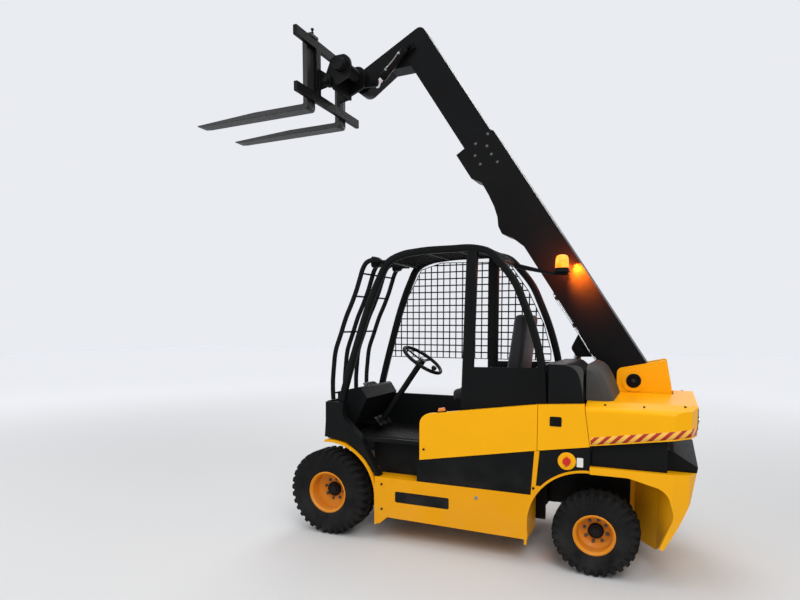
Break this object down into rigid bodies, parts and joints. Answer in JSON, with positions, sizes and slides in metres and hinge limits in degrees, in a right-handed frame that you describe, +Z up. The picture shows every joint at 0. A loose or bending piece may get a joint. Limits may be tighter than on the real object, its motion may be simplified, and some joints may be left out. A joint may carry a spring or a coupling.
{
  "type": "telehandler",
  "caption": "Compact telescopic-boom forklift telehandler with side boom over the cab's right, open barred cab, rear steer axle, counterweight, levelled carriage and forks.",
  "frame": {"origin": "middle of the bounding box on the ground under the tyres, boom raised as stored", "axes": "+X forward, +Y to the operator's left, +Z up"},
  "size_m": [4.2044, 1.326, 4.231],
  "materials": {
    "yellow_paint": "gloss machine yellow",
    "weight_paint": "painted casting, yellow",
    "black_paint": "satin black",
    "black_panel": "textured black",
    "grey_panel": "textured dark grey",
    "rim_paint": "gloss orange yellow",
    "tyre_rubber": "matte",
    "steel": "machined",
    "chrome_rod": "polished",
    "cast_grey": "rough",
    "pad_plastic": "smooth",
    "seat_vinyl": "grained vinyl",
    "amber_lens": "ribbed clear amber",
    "fork_paint": "worn black",
    "wire": "satin black"
  },
  "bodies": {
    "chassis": {"chassis_frame": "black_paint", "engine_block": "cast_grey", "front_axle": "cast_grey", "rear_axle": "cast_grey", "side_rail_left": "yellow_paint", "side_rail_right": "yellow_paint", "band_left": "yellow_paint", "band_right": "yellow_paint", "lower_panels_left": "black_panel", "lower_panels_right": "black_panel", "counterweight": "weight_paint", "rear_band": "black_panel", "rear_hood": "yellow_paint", "boom_bracket": "yellow_paint", "boom_pin": "steel", "cab_side_left": "black_paint", "cab_side_right": "black_paint", "cab_roof": "black_paint", "cab_tub": "black_panel", "front_guard": "black_paint", "mesh_guard": "wire", "seat_base": "black_panel", "seat_cushion": "seat_vinyl", "seat_back": "seat_vinyl", "dashboard": "black_panel", "steering_wheel": "black_panel", "engine_cover": "black_panel", "intake_cover": "grey_panel", "beacon_bracket": "black_paint", "beacon": "amber_lens"},
    "front_wheel_left": {"front_left_tyre": "tyre_rubber", "front_left_rim": "rim_paint"},
    "front_wheel_right": {"front_right_tyre": "tyre_rubber", "front_right_rim": "rim_paint"},
    "steer_knuckle_left": {"knuckle_left": "cast_grey"},
    "steer_knuckle_right": {"knuckle_right": "cast_grey"},
    "rear_wheel_left": {"rear_left_tyre": "tyre_rubber", "rear_left_rim": "rim_paint"},
    "rear_wheel_right": {"rear_right_tyre": "tyre_rubber", "rear_right_rim": "rim_paint"},
    "boom_outer": {"outer_boom": "black_paint", "boom_pads": "pad_plastic"},
    "boom_inner": {"inner_boom": "black_paint"},
    "carriage_frame": {"tilt_frame": "black_paint"},
    "carriage": {"fork_carriage": "black_paint", "forks": "fork_paint"},
    "lift_cylinder_barrel": {"lift_barrel": "black_paint"},
    "lift_cylinder_rod": {"lift_rod": "chrome_rod"},
    "level_cylinder_barrel": {"level_barrel": "black_paint"},
    "level_cylinder_rod": {"level_rod": "chrome_rod"}
  },
  "joints": [
    {"name": "front_left_roll", "type": "hinge", "parent": "chassis", "child": "front_wheel_left", "pos_m": [0.557, 0.536, 0.343], "axis": [0, 1, 0], "continuous": true},
    {"name": "front_right_roll", "type": "hinge", "parent": "chassis", "child": "front_wheel_right", "pos_m": [0.557, -0.536, 0.343], "axis": [0, 1, 0], "continuous": true},
    {"name": "steer_left", "type": "hinge", "parent": "chassis", "child": "steer_knuckle_left", "pos_m": [-1.493, 0.4, 0.285], "axis": [0, 0, 1], "range_deg": [-45, 45]},
    {"name": "steer_right", "type": "hinge", "parent": "chassis", "child": "steer_knuckle_right", "pos_m": [-1.493, -0.4, 0.285], "axis": [0, 0, 1], "range_deg": [-45, 45]},
    {"name": "rear_left_roll", "type": "hinge", "parent": "steer_knuckle_left", "child": "rear_wheel_left", "pos_m": [-1.493, 0.514, 0.285], "axis": [0, 1, 0], "continuous": true},
    {"name": "rear_right_roll", "type": "hinge", "parent": "steer_knuckle_right", "child": "rear_wheel_right", "pos_m": [-1.493, -0.514, 0.285], "axis": [0, 1, 0], "continuous": true},
    {"name": "boom_lift", "type": "hinge", "parent": "chassis", "child": "boom_outer", "pos_m": [-1.67, -0.33, 1.262], "axis": [0, -1, 0], "range_deg": [-63, 3]},
    {"name": "boom_extend", "type": "slide", "parent": "boom_outer", "child": "boom_inner", "axis": [0.5446, 0, 0.8387], "range_m": [-0.7, 0.6]},
    {"name": "carriage_level", "type": "hinge", "parent": "boom_inner", "child": "carriage_frame", "pos_m": [0.68411, 0, 3.8588], "axis": [0, -1, 0], "range_deg": [-3.01, 63.01]},
    {"name": "carriage_tilt", "type": "hinge", "parent": "carriage_frame", "child": "carriage", "pos_m": [0.80411, 0, 3.7388], "axis": [0, 1, 0], "range_deg": [-12, 10]},
    {"name": "lift_barrel_swing", "type": "hinge", "parent": "chassis", "child": "lift_cylinder_barrel", "pos_m": [-1.003, -0.33, 0.3], "axis": [0, -1, 0], "range_deg": [-0.5, 10.42]},
    {"name": "lift_rod_slide", "type": "slide", "parent": "lift_cylinder_barrel", "child": "lift_cylinder_rod", "axis": [-0.1992, 0, 0.98], "range_m": [-0.4754, 0.0245]},
    {"name": "level_barrel_swing", "type": "hinge", "parent": "boom_inner", "child": "level_cylinder_barrel", "pos_m": [0.22665, -0.205, 4.07242], "axis": [0, -1, 0], "range_deg": [-0.06, 1.18]},
    {"name": "level_rod_slide", "type": "slide", "parent": "level_cylinder_barrel", "child": "level_cylinder_rod", "axis": [0.7385, 0, -0.6743], "range_m": [-0.0105, 0.1796]}
  ],
  "couplings": [
    {"joint": "steer_right", "follows": "steer_left", "ratio": 1},
    {"joint": "carriage_level", "follows": "boom_lift", "ratio": -1},
    {"joint": "lift_barrel_swing", "follows": "boom_lift", "ratio": -0.16378},
    {"joint": "lift_rod_slide", "follows": "boom_lift", "m_per_rad": 0.43051},
    {"joint": "level_barrel_swing", "follows": "boom_lift", "ratio": -0.018592},
    {"joint": "level_rod_slide", "follows": "boom_lift", "m_per_rad": -0.16149}
  ]
}
